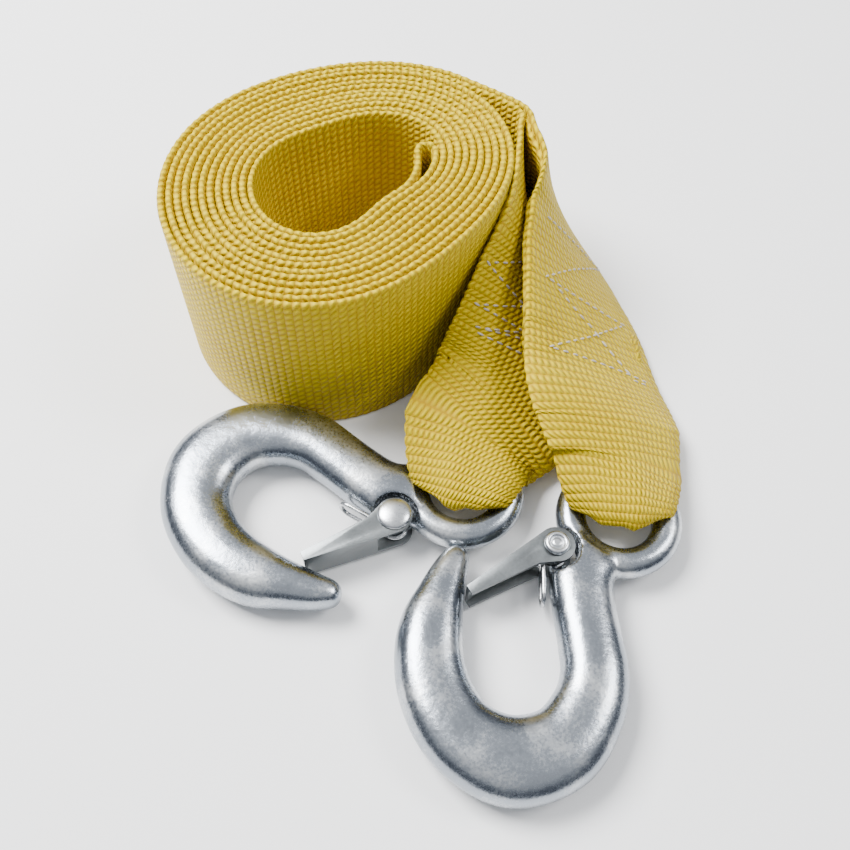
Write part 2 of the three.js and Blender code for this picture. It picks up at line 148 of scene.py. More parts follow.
# Seams: the tail they are sewn on, and their corners as millimetres along it from the coil and across it
SEAMS = (
    ("right", ((52, 18), (49, -22), (69, 18), (73, -18), (90.5, 18), (91.5, -18))),
    ("right", ((70.5, 13), (79, 0), (92.8, -13), (92.6, -18))),
    ("left", ((58, 10), (65, 23), (69.5, 5), (77, 21), (76.5, 2), (83, 18), (78.5, 2))),
    ("left", ((84.6, 18), (82.8, 0))),
)
SEAM_LIFT = 0.12
SEAM_AHEAD = 0.2
STITCH_UNEVENNESS = 0.25

# Hooks: where each eye lies, which way the hook's length points from bowl to eye, whether it lies the other
# side up, the side of the eye that the webbing crosses, and its loop's reach as a share of LOOP's
EYES = {
    "right": {"x": 50.6, "y": 103.3, "turn": 53.9, "flipped": False, "loop_at": 88.0, "slack": 1.1},
    "left": {"x": 10.3, "y": 109.4, "turn": 6.6, "flipped": True, "loop_at": 76.0, "slack": 1.28},
}
HOOK_THICK = 13.0
HOOK_LENGTH = 48.0
EYE_HOLE = 16.8
EYE_WIDTH = 7.8
EYE_THICK = 7.4

# Hook's middle line from tip to eye: x and y from the middle of the bowl, width, and share of its thickness
HOOK_LINE = (
    (15.9, 26.75, 1.8, 0.22),
    (15.4, 26.6, 4.2, 0.42),
    (14.2, 26.25, 6.2, 0.56),
    (12.2, 25.7, 7.6, 0.65),
    (8.6, 24.8, 9.4, 0.74),
    (2.6, 22.8, 12.0, 0.86),
    (-4.0, 20.2, 15.2, 0.96),
    (-10.6, 15.9, 16.4, 1),
    (-16.6, 9.0, 17.2, 1),
    (-20.2, -1.0, 18.0, 1),
    (-17.8, -12.4, 19.6, 1),
    (-8.8, -19.6, 18.6, 1),
    (1.6, -20.0, 17.0, 1),
    (9.8, -17.0, 16.0, 1),
    (16.2, -11.6, 15.4, 0.97),
    (22.0, -6.2, 15.4, 0.93),
    (27.6, -1.8, 16.0, 0.88),
    (33.0, 0.3, 17.6, 0.8),
    (37.6, 0.4, 19.0, 0.62),
)
HOOK_STEPS = 8
HOOK_SIDES = 36
HOOK_SQUARENESS = 0.85
HOOK_VOXEL = 0.5
HOOK_SMOOTHING = 9

# Latch, rivet and spring: the pivot is measured from the middle of the eye
PIVOT = (-18.0, 7.8)
LATCH_WIDTH = 9.6
LATCH_HEAD = 4.6
LATCH_BEVEL = 0.22
LATCH_BEVEL_STEPS = 3
LATCH_WELD = 0.002
LATCH_FLAT = 1
LATCH_SHARP = 40
POCKET_CLEARANCE = 1.4
LUG_THICK = 3.6
LUG_RADIUS = 4.0
RIVET_DIAMETER = 4.4
RIVET_HEAD = 8.6
RIVET_HEAD_HEIGHT = 1.3
RIVET_HEAD_EASE = 0.15
RIVET_HEAD_STEPS = 10
RIVET_PEEN = 6.4
RIVET_PEEN_HEIGHT = 1.2
RIVET_SHARP = 50
CLEARANCE = 0.3
SPRING_WIRE = 1.1
SPRING_REACH = 11.5
SPRING_CLEARANCE = 0.35
SPRING_START = 246.0
SPRING_END = 485.0
SPRING_STUB = 2.5
SPRING_TURN_STEPS = 28
SPRING_BEND_STEPS = 9
SPRING_SIDES = 14

# Peened end: points in from its edge and up from its seat, then in from its edge and down from its top
PEEN_FOOT = ((0.25, 0.0), (0.0, 0.3), (0.1, 0.75))
PEEN_FACE = ((0.55, 0.05), (1.0, 0.0), (1.35, 0.25), (1.55, 0.65), (1.8, 0.7), (2.05, 0.35), (2.5, 0.28))
PEEN_MIDDLE = 0.3

# Look of the webbing: slant of the yarns and what odd columns add to it, roundness of ribs and yarns,
# scales along and across, and the parts that fibre, patch and yarn play in height, tone and roughness
YARN_SLANT = 0.5
SLANT_CHANGE = 0.15
RIB_POWER = 0.9
YARN_POWER = 1.3
FIBRE_SCALE = (900.0, 5200.0, 1.0)
FIBRE_HEIGHT = 0.10
WEAVE_STRENGTH = 0.9
PATCH_SCALE = (60.0, 90.0, 1.0)
PATCH_TONE = 0.3
# Yarn height's part in the colour is painted light: painted shade in the valleys between yarns, and a
# painted highlight on the crowns, where the colour is paled by the next factor
YARN_SHADING_TONE = 0.8
MIDDLE_TONE = 0.7
CROWN_HIGHLIGHT_TONE = 1.1
WEB_ROUGH = 0.42
WEB_ROUGH_SPREAD = 0.2
WEB_SPECULAR = 0.3
WEB_SPECULAR_TINT = (1.0, 0.85, 0.3, 1.0)

# Look of the metals: scales of patch, grain and pebble, the dark patches' share of the colour, and what
# patch and grain add to roughness. Each look is a colour, its roughness, speckle height and lighter tint
PATCH = 90.0
GRAIN = 1500.0
PEBBLE = 520.0
DARK_SHARE = 0.72
PATCH_POLISH = 0.22
GRAIN_POLISH = 0.16
HOOK_SPECKLE = 0.12 * MM
LATCH_ROUGH = 0.36
LATCH_SPECKLE = 0.05 * MM
LATCH_TINT = 1.3
RIVET_LOOK = ((0.62, 0.64, 0.66), 0.3, 0.04 * MM, (0.74, 0.75, 0.75))
WIRE_LOOK = ((0.55, 0.56, 0.57), 0.28, 0.02 * MM, (0.68, 0.68, 0.68))
THREAD_TWIST = 1800.0

# Stage, in metres: where each light stands and how wide it is, what they aim at, and the sky by height
KEY_AT = (-0.5, 0.25, 0.75)
KEY_SIZE = 0.45
FILL_AT = (0.6, 0.1, 0.7)
FILL_SIZE = 0.3
LIGHT_TARGET = (0, 0, 0.02)
SKY = ((0.0, (0.10, 0.12, 0.16)), (0.45, (0.16, 0.18, 0.22)), (0.75, (0.95, 0.97, 1.0)))
SKY_STRENGTH = 0.9

UP = np.array((0.0, 0.0, 1.0))


def smooth(value):
    value = np.clip(value, 0, 1)
    return value * value * (3 - 2 * value)


def mix(a, b, share):
    return a + (b - a) * share


def unit(vectors):
    return vectors / np.linalg.norm(vectors, axis=-1, keepdims=True)


def through(rows, steps):
    """Smooth curve through rows of numbers, each row a point with its own values."""
    rows = np.array(rows, float)
    padded = np.vstack((2 * rows[0] - rows[1], rows, 2 * rows[-1] - rows[-2]))
    result = []
    for before, here, after, later in zip(padded, padded[1:], padded[2:], padded[3:]):
        for t in np.arange(steps) / steps:
            result.append(0.5 * (2 * here + (after - before) * t
                                 + (2 * before - 5 * here + 4 * after - later) * t * t
                                 + (3 * here - before - 3 * after + later) * t ** 3))
    return np.array(result + [rows[-1]])


def distances(points):
    """How far along a line of points each one lies."""
    return np.concatenate(((0,), np.cumsum(np.linalg.norm(np.diff(points, axis=0), axis=1))))


def spaced(rows, far, at):
    """Rows of numbers at the wanted distances, from rows at known ones."""
    return np.stack([np.interp(at, far, column) for column in rows.T], axis=1)


def coil_reach(angle):
    return (COIL_RADIUS - 2 * PLY * angle / 360
            + COIL_OVAL * np.cos(np.radians(2 * (angle - COIL_OVAL_ANGLE)))
            + COIL_LOBE * np.cos(np.radians(3 * (angle - COIL_LOBE_ANGLE))))


def outward(angle):
    """Level direction away from the coil's middle, one row for each angle in degrees."""
    angle = np.radians(np.atleast_1d(angle))
    return np.stack((np.cos(angle), np.sin(angle), np.zeros_like(angle)), axis=1)


COIL_CENTRE = (np.array((*COIL_EXIT, WEB_WIDTH / 2))
               - outward(COIL_EXIT_ANGLE)[0] * coil_reach(COIL_EXIT_ANGLE))


def strand_path(angle, strand, inward):
    reach = coil_reach(angle) - WEB_THICK / 2 - strand * PLY - inward
    return COIL_CENTRE + outward(angle) * np.atleast_1d(reach)[:, None]


def stations(middle, across, share, thick, cup):
    """Sections of the webbing: middle, direction of the width, share of the width, thickness, cup."""
    count = len(middle)
    columns = [np.broadcast_to(np.asarray(value, float), (count,))[:, None]
               for value in (share, thick, cup)]
    return np.hstack((middle, np.broadcast_to(across, (count, 3)), *columns))


def coil_stations():
    """Both strands of the coil and the fold at its heart, from the left tail's strand to the right's."""
    end = COIL_EXIT_ANGLE + 360 * COIL_TURNS
    angle = np.linspace(COIL_EXIT_ANGLE, end, round(COIL_TURNS * COIL_STEPS))
    tuck = (2 * FOLD_RADIUS - PLY) * smooth(1 - (end - angle) / FOLD_RUN)
    inner = strand_path(angle, 1, tuck)
    outer = strand_path(angle, 0, 0)
    out = outward(end)[0]
    on = np.array((-out[1], out[0], 0))
    turn = np.linspace(0, math.pi, FOLD_STEPS + 1)[1:-1, None]
    face = out * np.cos(turn) - on * np.sin(turn)
    fold = outer[-1] - out * FOLD_RADIUS - face * FOLD_RADIUS
    return stations(np.vstack((inner, fold, outer[::-1])), UP, 1, WEB_THICK, 0)


def loop_stations(eye):
    """The loop goes over the eye's far side, down through its hole and back under it."""
    at = math.radians(eye["loop_at"])
    ring = (EYE_HOLE + EYE_WIDTH) / 2
    cord = np.array((eye["x"] + ring * math.cos(at), eye["y"] + ring * math.sin(at), HOOK_THICK / 2))
    run = -outward(eye["loop_at"])[0]
    reach, height, share, cup, lean = through(LOOP, LOOP_STEPS).T
    lean = np.radians(np.minimum(lean, FLAT_LEAN))[:, None]
    middle = cord + run * (eye["slack"] * reach)[:, None] + UP * height[:, None]
    across = np.cross(run, UP) * np.sin(lean) + UP * np.cos(lean)
    return stations(middle, across, share, WEB_THICK, cup)


def tail_stations(rows, eye, sewn, strand):
    """A tail from the coil to its eye, its loop, and the end folded back and sewn under it."""
    start = strand_path(COIL_EXIT_ANGLE, strand, 0)[0]
    x, y, lean, lift, share = through([(start[0], start[1], 0, 0, 1), *rows], TAIL_STEPS).T
    count = len(x)
    index = np.arange(count)
    place = np.stack((x, y, np.zeros(count)), axis=1)
    way = unit(place[np.minimum(index + 1, count - 1)] - place[np.maximum(index - 1, 0)])
    side = np.cross(way, UP)
    tilt = np.radians(lean)[:, None]
    height = (np.maximum(lift, TAIL_REST) + (PLY + WEB_THICK / 2) * np.sin(tilt[:, 0])
              + share * WEB_WIDTH / 2 * np.cos(tilt[:, 0]))
    middle = place + UP * height[:, None]
    across = UP * np.cos(tilt) + side * np.sin(tilt)
    cup = LOOP[0][3] * smooth((index - (count - CUP_ROWS * TAIL_STEPS)) / (CUP_ROWS * TAIL_STEPS))
    loop = loop_stations(eye)
    route = np.vstack((middle, loop[:1, :3]))
    run = unit(route[np.minimum(index + 1, count)] - route[np.maximum(index - 1, 0)])
    level = unit(across - run * np.sum(across * run, axis=1, keepdims=True))
    face = unit(np.cross(run, level))
    first = sewn[1] * TAIL_STEPS
    kept = index[index >= sewn[0] * TAIL_STEPS][::-1]
    loose = smooth((kept - first) / (count - first))
    beneath = middle[kept] + face[kept] * PLY
    beneath[:, 2] = mix(beneath[:, 2], loop[-1, 2], loose)
    settle = np.radians(mix(lean[kept], FLAT_LEAN, loose))[:, None]
    under = stations(
        beneath,
        UP * np.cos(settle) + side[kept] * np.sin(settle),
        mix(share[kept] * END_SHARE, LOOP[-1][2], loose),
        WEB_THICK,
        mix(0, LOOP[-1][3], loose),
    )
    return np.vstack((stations(middle, across, share, WEB_THICK, cup)[1:], loop, under))


def webbing_route():
    """The whole webbing at even steps: distance along, sections, run, face, and where the tails start."""
    left = tail_stations(LEFT_TAIL, EYES["left"], LEFT_SEWN, 1)[::-1].copy()
    left[:, 8] *= -1
    coil = coil_stations()
    right = tail_stations(RIGHT_TAIL, EYES["right"], RIGHT_SEWN, 0)
    rows = np.vstack((left, coil, right))
    rows[:, :2] += PLAN_SHIFT
    rough = distances(rows[:, :3])
    tails = (rough[len(left)], rough[len(left) + len(coil) - 1])
    along = np.linspace(0, rough[-1], round(rough[-1] / STATION_STEP) + 1)
    even = spaced(rows, rough, along)
    run = unit(np.gradient(even[:, :3], axis=0))
    across = even[:, 3:6]
    across = unit(across - run * np.sum(across * run, axis=1, keepdims=True))
    even[:, 3:6] = across
    return along, even, run, np.cross(run, across), tails


def webbing_surface():
    """The webbing's middle surface: distances along, places across, points, normals, and tail starts."""
    along, even, run, face, tails = webbing_route()
    edge = WEB_THICK / WEB_WIDTH
    inside = np.linspace(-1 + edge, 1 - edge, FLAT_COLUMNS)
    place = np.concatenate(((-1, -1 + EDGE_COLUMN * edge), inside, (1 - EDGE_COLUMN * edge, 1)))
    middle, across, share = even[:, None, :3], even[:, None, 3:6], even[:, 6:7]
    cup = even[:, 8:9]
    bead = SELVEDGE_BEAD * np.abs(np.sin(math.pi * along / RIB_PITCH))[:, None]
    half = share * WEB_WIDTH / 2 + bead
    curl = np.abs(place) ** CUP_POWER
    surface = middle + across * (place * half)[:, :, None] + face[:, None] * (cup * curl)[:, :, None]
    slope = CUP_POWER * np.sign(place) * np.abs(place) ** (CUP_POWER - 1)
    width_way = across * np.broadcast_to(half, (len(along), len(place)))[:, :, None] \
        + face[:, None] * (cup * slope)[:, :, None]
    normal = unit(np.cross(run[:, None], width_way))
    drift = PLEAT_DRIFT * np.sin(along / PLEAT_DRIFT_RUN)[:, None]
    pleat = PLEAT_DEPTH * (1 - share) * np.sin(math.pi * PLEAT_WAVES * place + drift)
    surface = surface + normal * (pleat * (1 - place ** 2))[:, :, None]
    in_coil = smooth((along - tails[0]) / WEB_WIDTH) * smooth((tails[1] - along) / WEB_WIDTH)
    steady, first, second = WANDER_SHARES
    late = second * np.sin(along / WANDER_RUNS[1] + WANDER_START)
    wander = EDGE_WANDER * (steady + first * np.sin(along / WANDER_RUNS[0]) + late) * in_coil
    surface[:, :, 2] += wander[:, None]
    lowest = TAIL_REST + WEB_THICK / 2 * np.abs(normal[:, :, 2])
    surface[:, :, 2] = np.maximum(surface[:, :, 2], lowest)
    return along, place, surface, normal, tails


def grid_faces(rows, columns):
    """Quads of a closed tube of rings, and a cap at each end."""
    first = np.arange(rows - 1)[:, None] * columns
    column = np.arange(columns)[None]
    following = (column + 1) % columns
    quads = np.stack((first + column, first + columns + column,
                      first + columns + following, first + following), axis=2).reshape(-1, 4)
    caps = [list(range(columns)), list(range(rows * columns - 1, (rows - 1) * columns - 1, -1))]
    return quads.tolist() + caps


def new_mesh(name, points, faces):
    mesh = bpy.data.meshes.new(name)
    mesh.from_pydata(np.asarray(points).tolist(), [], faces)
    mesh.update()
    return mesh


def new_object(name, data, material=None):
    made = bpy.data.objects.new(name, data)
    bpy.context.scene.collection.objects.link(made)
    if material:
        data.materials.append(material)
    return made


def from_shape(name, shape):
    """A new object from a bmesh, which is freed."""
    mesh = bpy.data.meshes.new(name)
    shape.to_mesh(mesh)
    shape.free()
    return new_object(name, mesh)


def drop(scratch):
    mesh = scratch.data
    bpy.data.objects.remove(scratch)
    bpy.data.meshes.remove(mesh)


def shade_smooth(mesh):
    mesh.polygons.foreach_set("use_smooth", [True] * len(mesh.polygons))


def finished(name, source, material, angle=None):
    """The object with its modifiers applied, as a plain mesh with smooth faces."""
    bpy.context.view_layer.update()
    mesh = bpy.data.meshes.new_from_object(source.evaluated_get(bpy.context.evaluated_depsgraph_get()))
    drop(source)
    mesh.name = name
    mesh.materials.clear()
    shade_smooth(mesh)
    if angle:
        mesh.set_sharp_from_angle(angle=math.radians(angle))
    return new_object(name, mesh, material)


# Materials
def node(tree, kind, links=None, values=None, **props):
    made = tree.nodes.new(kind)
    for name, value in props.items():
        setattr(made, name, value)
    for socket, value in (values or {}).items():
        made.inputs[socket].default_value = value
    for socket, source in (links or {}).items():
        tree.links.new(source, made.inputs[socket])
    return made


def calc(tree, operation, *terms):
    made = tree.nodes.new("ShaderNodeMath")
    made.operation = operation
    for socket, term in zip(made.inputs, terms):
        if isinstance(term, (int, float)):
            socket.default_value = term
        else:
            tree.links.new(term, socket)
    return made.outputs[0]


def ramp(tree, source, *stops):
    made = node(tree, "ShaderNodeValToRGB", {"Fac": source})
    elements = made.color_ramp.elements
    while len(elements) < len(stops):
        elements.new(0.5)
    for element, (position, colour) in zip(elements, stops):
        element.position = position
        element.color = (*colour, 1)
    return made.outputs["Color"]


def noise(tree, vector, scale, detail=2.0, roughness=0.5):
    made = node(tree, "ShaderNodeTexNoise", {"Vector": vector},
                {"Scale": scale, "Detail": detail, "Roughness": roughness})
    return made.outputs["Fac"]


def blank_material(name):
    material = bpy.data.materials.new(name)
    material.use_nodes = True
    tree = material.node_tree
    return material, tree, tree.nodes["Principled BSDF"]


def webbing_material(settings):
    """Woven ribs across the width, each a column of slanted yarn floats, from the cloth's own UV map, with
    painted shade in the valleys between yarns and a painted highlight on their crowns.
    """
    material, tree, shader = blank_material("webbing weave")
    uv = node(tree, "ShaderNodeUVMap", uv_map="cloth").outputs["UV"]
    split = node(tree, "ShaderNodeSeparateXYZ", {"Vector": uv})
    rib = calc(tree, "DIVIDE", split.outputs["X"], settings.yarn_pitch)
    row = calc(tree, "DIVIDE", split.outputs["Y"], WEB_WIDTH * MM / YARN_ROWS)
    within = calc(tree, "FRACT", rib)
    odd = calc(tree, "MODULO", calc(tree, "FLOOR", rib), 2.0)
    slant = calc(tree, "MULTIPLY_ADD", odd, SLANT_CHANGE, YARN_SLANT)
    tilt = calc(tree, "MULTIPLY", slant, calc(tree, "SUBTRACT", within, 0.5))
    phase = calc(tree, "ADD", row, tilt)
    wave = calc(tree, "ABSOLUTE", calc(tree, "SINE", calc(tree, "MULTIPLY", phase, math.pi)))
    crown = calc(tree, "SINE", calc(tree, "MULTIPLY", within, math.pi))
    crown = calc(tree, "POWER", calc(tree, "MAXIMUM", crown, 0.0), RIB_POWER)
    yarn = calc(tree, "MULTIPLY", calc(tree, "POWER", wave, YARN_POWER), crown)
    fibre_space, patch_space = [
        node(tree, "ShaderNodeMapping", {"Vector": uv}, {"Scale": scale}).outputs["Vector"]
        for scale in (FIBRE_SCALE, PATCH_SCALE)
    ]
    fibre = noise(tree, fibre_space, 1.0, 1.0)
    height = calc(tree, "MULTIPLY_ADD", fibre, FIBRE_HEIGHT, yarn)
    fine = node(tree, "ShaderNodeBump", {"Height": height},
                {"Strength": WEAVE_STRENGTH, "Distance": settings.yarn_height})
    tree.links.new(fine.outputs["Normal"], shader.inputs["Normal"])
    patchy = noise(tree, patch_space, 1.0, 3.0)
    # Tone is random patches (real) plus yarn height (painted light): the yarn's part paints shade into the
    # valleys and a highlight onto the crowns, through the pale top stop of the ramp
    tone = calc(tree, "MULTIPLY_ADD", patchy, PATCH_TONE, calc(tree, "MULTIPLY", yarn, YARN_SHADING_TONE))
    deep, bright = settings.valley_shade_colour, settings.yarn_colour
    middle = [mix(a, b, MIDDLE_TONE) for a, b in zip(deep, bright)]
    pale = [min(1.0, c * CROWN_HIGHLIGHT_TONE) for c in bright]
    colour = ramp(tree, tone, (0.0, deep), (0.35, middle), (0.8, bright), (1.0, pale))
    tree.links.new(colour, shader.inputs["Base Color"])
    rough = calc(tree, "MULTIPLY_ADD", fibre, WEB_ROUGH_SPREAD, WEB_ROUGH)
    tree.links.new(rough, shader.inputs["Roughness"])
    shader.inputs["Specular IOR Level"].default_value = WEB_SPECULAR
    shader.inputs["Specular Tint"].default_value = WEB_SPECULAR_TINT
    return material


def metal_material(name, colour, rough, speckle, tint):
    """Zinc plate: a slightly pebbled metal with soft patches of tint and polish."""
    material, tree, shader = blank_material(name)
    place = node(tree, "ShaderNodeTexCoord").outputs["Object"]
    patch = noise(tree, place, PATCH, 3.0)
    grain = noise(tree, place, GRAIN, 3.0, 0.6)
    pebble = noise(tree, place, PEBBLE)
    shade = [c * DARK_SHARE for c in colour]
    mottled = ramp(tree, calc(tree, "MULTIPLY_ADD", patch, 0.7, calc(tree, "MULTIPLY", grain, 0.3)),
                   (0.25, shade), (0.5, colour), (0.75, tint))
    tree.links.new(mottled, shader.inputs["Base Color"])
    shader.inputs["Metallic"].default_value = 1.0
    least = rough - (PATCH_POLISH + GRAIN_POLISH) / 2
    polish = calc(tree, "MULTIPLY_ADD", patch, PATCH_POLISH,
                  calc(tree, "MULTIPLY_ADD", grain, GRAIN_POLISH, least))
    tree.links.new(polish, shader.inputs["Roughness"])
    height = calc(tree, "MULTIPLY_ADD", grain, 0.4, pebble)
    bump = node(tree, "ShaderNodeBump", {"Height": height}, {"Strength": 0.5, "Distance": speckle})
    tree.links.new(bump.outputs["Normal"], shader.inputs["Normal"])
    return material


def thread_material(settings):
    material, tree, shader = blank_material("sewing thread")
    place = node(tree, "ShaderNodeTexCoord").outputs["Object"]
    twist = noise(tree, place, THREAD_TWIST)
    low = [c * 0.7 for c in settings.thread_colour]
    tree.links.new(ramp(tree, twist, (0.3, low), (0.7, tuple(settings.thread_colour))),
                   shader.inputs["Base Color"])
    shader.inputs["Roughness"].default_value = 0.45
    bump = node(tree, "ShaderNodeBump", {"Height": twist}, {"Strength": 0.4, "Distance": 0.0001})
    tree.links.new(bump.outputs["Normal"], shader.inputs["Normal"])
    return material


def floor_material(settings):
    material, tree, shader = blank_material("pale floor")
    place = node(tree, "ShaderNodeTexCoord").outputs["Object"]
    haze = noise(tree, place, 3.0)
    pale = tuple(settings.floor_colour)
    colour = ramp(tree, haze, (0.0, [c * 0.98 for c in pale]), (1.0, pale))
    tree.links.new(colour, shader.inputs["Base Color"])
    shader.inputs["Roughness"].default_value = 0.85
    return material


# Places on a hook, in metres: its own frame has the middle of the eye at zero and x away from the bowl
def hook_place(side):
    eye = EYES[side]
    flip = Matrix.Rotation(math.pi, 4, "X") if eye["flipped"] else Matrix.Identity(4)
    turn = Matrix.Rotation(math.radians(eye["turn"]), 4, "Z")
    at = Vector((eye["x"] + PLAN_SHIFT[0], eye["y"] + PLAN_SHIFT[1], HOOK_THICK / 2)) * MM
    return Matrix.Translation(at) @ turn @ flip @ Matrix.Scale(MM, 4)


def pivot_place(side):
    return hook_place(side) @ Matrix.Translation((*PIVOT, 0))


def drum(radius, depth, x, y, z, sides=64):
    """An upright cylinder in millimetres, as a scratch object for joining and cutting."""
    shape = bmesh.new()
    bmesh.ops.create_cone(shape, cap_ends=True, segments=sides, radius1=radius, radius2=radius, depth=depth,
                          matrix=Matrix.Translation((x, y, z)))
    return from_shape("drum", shape)


def slab(width, depth, height, x, y, z):
    shape = bmesh.new()
    bmesh.ops.create_cube(shape, size=1, matrix=Matrix.Translation((x, y, z))
                          @ Matrix.Diagonal((width, depth, height, 1)))
    return from_shape("slab", shape)


def shank():
    """The hook's body swept along its middle line, from tip to eye."""
    rows = through(HOOK_LINE, HOOK_STEPS)
    last = len(rows) - 1
    turn = 2 * math.pi * (np.arange(HOOK_SIDES) + 0.5) / HOOK_SIDES
    c = np.sign(np.cos(turn)) * np.abs(np.cos(turn)) ** HOOK_SQUARENESS
    s = np.sign(np.sin(turn)) * np.abs(np.sin(turn)) ** HOOK_SQUARENESS
    points = []
    for i, (x, y, width, share) in enumerate(rows):
        step = rows[min(i + 1, last)] - rows[max(i - 1, 0)]
        way = math.atan2(step[1], step[0])
        points.append(np.stack((
            x - HOOK_LENGTH - math.sin(way) * c * width / 2,
            y + math.cos(way) * c * width / 2,
            s * min(share, 1) * HOOK_THICK / 2,
        ), axis=1))
    return new_object("shank", new_mesh("shank", np.vstack(points), grid_faces(len(rows), HOOK_SIDES)))


def eye_ring():
    sides, steps = 32, 96
    turn = 2 * math.pi * np.arange(sides) / sides
    points = []
    for angle in 2 * math.pi * np.arange(steps) / steps:
        reach = (EYE_HOLE + EYE_WIDTH) / 2 + EYE_WIDTH / 2 * np.cos(turn)
        points.append(np.stack((reach * math.cos(angle), reach * math.sin(angle),
                                EYE_THICK / 2 * np.sin(turn)), axis=1))
    index = np.arange(steps * sides).reshape(steps, sides)
    along = np.roll(index, -1, axis=0)
    faces = np.stack((index, along, np.roll(along, -1, axis=1), np.roll(index, -1, axis=1)), axis=2)
    return new_object("eye ring", new_mesh("eye ring", np.vstack(points), faces.reshape(-1, 4).tolist()))


def combine(target, tool, operation):
    cut = target.modifiers.new(operation, "BOOLEAN")
    cut.operation = operation
    cut.object = tool
    cut.solver = "EXACT"
    return tool


def hook_mesh():
    """One forged hook in its own frame: shank, eye, the lug the latch turns on, and its pockets."""
    body = shank()
    x, y = PIVOT
    room = LATCH_HEAD + POCKET_CLEARANCE
    tools = [combine(body, drum((EYE_HOLE + EYE_WIDTH) / 2, 2 * HOOK_THICK, 0, 0, 0), "DIFFERENCE")]
    tools.append(combine(body, eye_ring(), "UNION"))
    for way in (1, -1):
        pocket = drum(room, HOOK_THICK, x, y, way * (LUG_THICK + HOOK_THICK) / 2)
        tools.append(combine(body, pocket, "DIFFERENCE"))
    tools.append(combine(body, drum(LUG_RADIUS, LUG_THICK, x, y, 0), "UNION"))
    foot = slab(2 * LUG_RADIUS, 2 * LUG_RADIUS, LUG_THICK, x, y - LUG_RADIUS, 0)
    tools.append(combine(body, foot, "UNION"))
    bore = drum(RIVET_DIAMETER / 2 + CLEARANCE, 2 * HOOK_THICK, x, y, 0)
    tools.append(combine(body, bore, "DIFFERENCE"))
    skin = body.modifiers.new("forged skin", "REMESH")
    skin.mode = "VOXEL"
    skin.voxel_size = HOOK_VOXEL
    soften = body.modifiers.new("forging radius", "SMOOTH")
    soften.factor = 0.5
    soften.iterations = HOOK_SMOOTHING
    made = finished("hook blank", body, None)
    for tool in tools:
        drop(tool)
    return made


def placed_copy(name, source, place, material):
    mesh = source.data.copy()
    mesh.transform(place)
    mesh.name = name
    mesh.materials.clear()
    return new_object(name, mesh, material)


def lathe(profile, sides=64):
    """A turned solid about z from (radius, height) pairs that start and end on the axis."""
    turn = 2 * math.pi * np.arange(sides) / sides
    points = [(0, 0, profile[0][1])]
    for radius, height in profile[1:-1]:
        points += [(radius * math.cos(t), radius * math.sin(t), height) for t in turn]
    points.append((0, 0, profile[-1][1]))
    faces = []
    rings = len(profile) - 2
    for i in range(sides):
        j = (i + 1) % sides
        faces.append((0, 1 + j, 1 + i))
        for ring in range(rings - 1):
            a = 1 + ring * sides
            faces.append((a + i, a + j, a + sides + j, a + sides + i))
        faces.append((1 + (rings - 1) * sides + i, 1 + (rings - 1) * sides + j, len(points) - 1))
    return new_mesh("turned", points, faces)


def rivet_profile():
    """A domed head below, a plain shank, and above it a peened end with its rolled ring and dimple."""
    seat = LATCH_WIDTH / 2 + CLEARANCE
    top = seat + RIVET_PEEN_HEIGHT
    shank_radius, head, peen = RIVET_DIAMETER / 2, RIVET_HEAD / 2, RIVET_PEEN / 2
    profile = [(0, -seat - RIVET_HEAD_HEIGHT)]
    for i in range(1, RIVET_HEAD_STEPS + 1):
        turn = math.pi / 2 * i / RIVET_HEAD_STEPS
        profile.append((head * math.sin(turn), -seat - RIVET_HEAD_HEIGHT * math.cos(turn)))
    profile += [(head - RIVET_HEAD_EASE, -seat), (shank_radius, -seat), (shank_radius, seat)]
    profile += [(peen - inward, seat + up) for inward, up in PEEN_FOOT]
    profile += [(peen - inward, top - down) for inward, down in PEEN_FACE]
    return profile + [(0, top - PEEN_MIDDLE)]


def spring_path():
    """Middle line of the hairpin spring round the rivet, its bight on the shank, from leg end to leg end."""
    high = LUG_THICK / 2 + SPRING_CLEARANCE + SPRING_WIRE / 2
    around = RIVET_DIAMETER / 2 + SPRING_CLEARANCE + SPRING_WIRE / 2

    def spot(angle, along, heading, z):
        a, h = math.radians(angle), math.radians(heading)
        return (around * math.cos(a) + along * math.cos(h), around * math.sin(a) + along * math.sin(h), z)

    half = [spot(SPRING_START, SPRING_STUB, SPRING_START - 90, high)]
    half += [spot(angle, 0, 0, high) for angle in np.linspace(SPRING_START, SPRING_END, SPRING_TURN_STEPS)]
    half.append(spot(SPRING_END, SPRING_REACH / 2, SPRING_END + 90, high))
    for turn in np.linspace(0, math.pi / 2, SPRING_BEND_STEPS):
        half.append(spot(SPRING_END, SPRING_REACH + high * math.sin(turn), SPRING_END + 90,
                         high * math.cos(turn)))
    return half + [(x, y, -z) for x, y, z in half[-2::-1]]


# Geometry Nodes
def new_tree(name, sizes):
    """An empty tree with a geometry input, named size inputs, and a geometry output."""
    tree = bpy.data.node_groups.new(name, "GeometryNodeTree")
    tree.interface.new_socket("Geometry", in_out="INPUT", socket_type="NodeSocketGeometry")
    for label, kind in sizes:
        tree.interface.new_socket(label, in_out="INPUT", socket_type=kind)
    tree.interface.new_socket("Geometry", in_out="OUTPUT", socket_type="NodeSocketGeometry")
    return tree, node(tree, "NodeGroupInput"), node(tree, "NodeGroupOutput")


def close_tree(tree, geometry, group_in, group_out):
    real = node(tree, "GeometryNodeRealizeInstances", {"Geometry": geometry})
    painted = node(tree, "GeometryNodeSetMaterial",
                   {"Geometry": real.outputs["Geometry"], "Material": group_in.outputs["Material"]})
    tree.links.new(painted.outputs["Geometry"], group_out.inputs["Geometry"])


def with_tree(source, tree, values):
    """Adds the tree as a modifier and sets its inputs by their identifiers."""
    modifier = source.modifiers.new(tree.name, "NODES")
    modifier.node_group = tree
    for item in tree.interface.items_tree:
        if item.in_out == "INPUT" and item.name in values:
            modifier[item.identifier] = values[item.name]
    return source


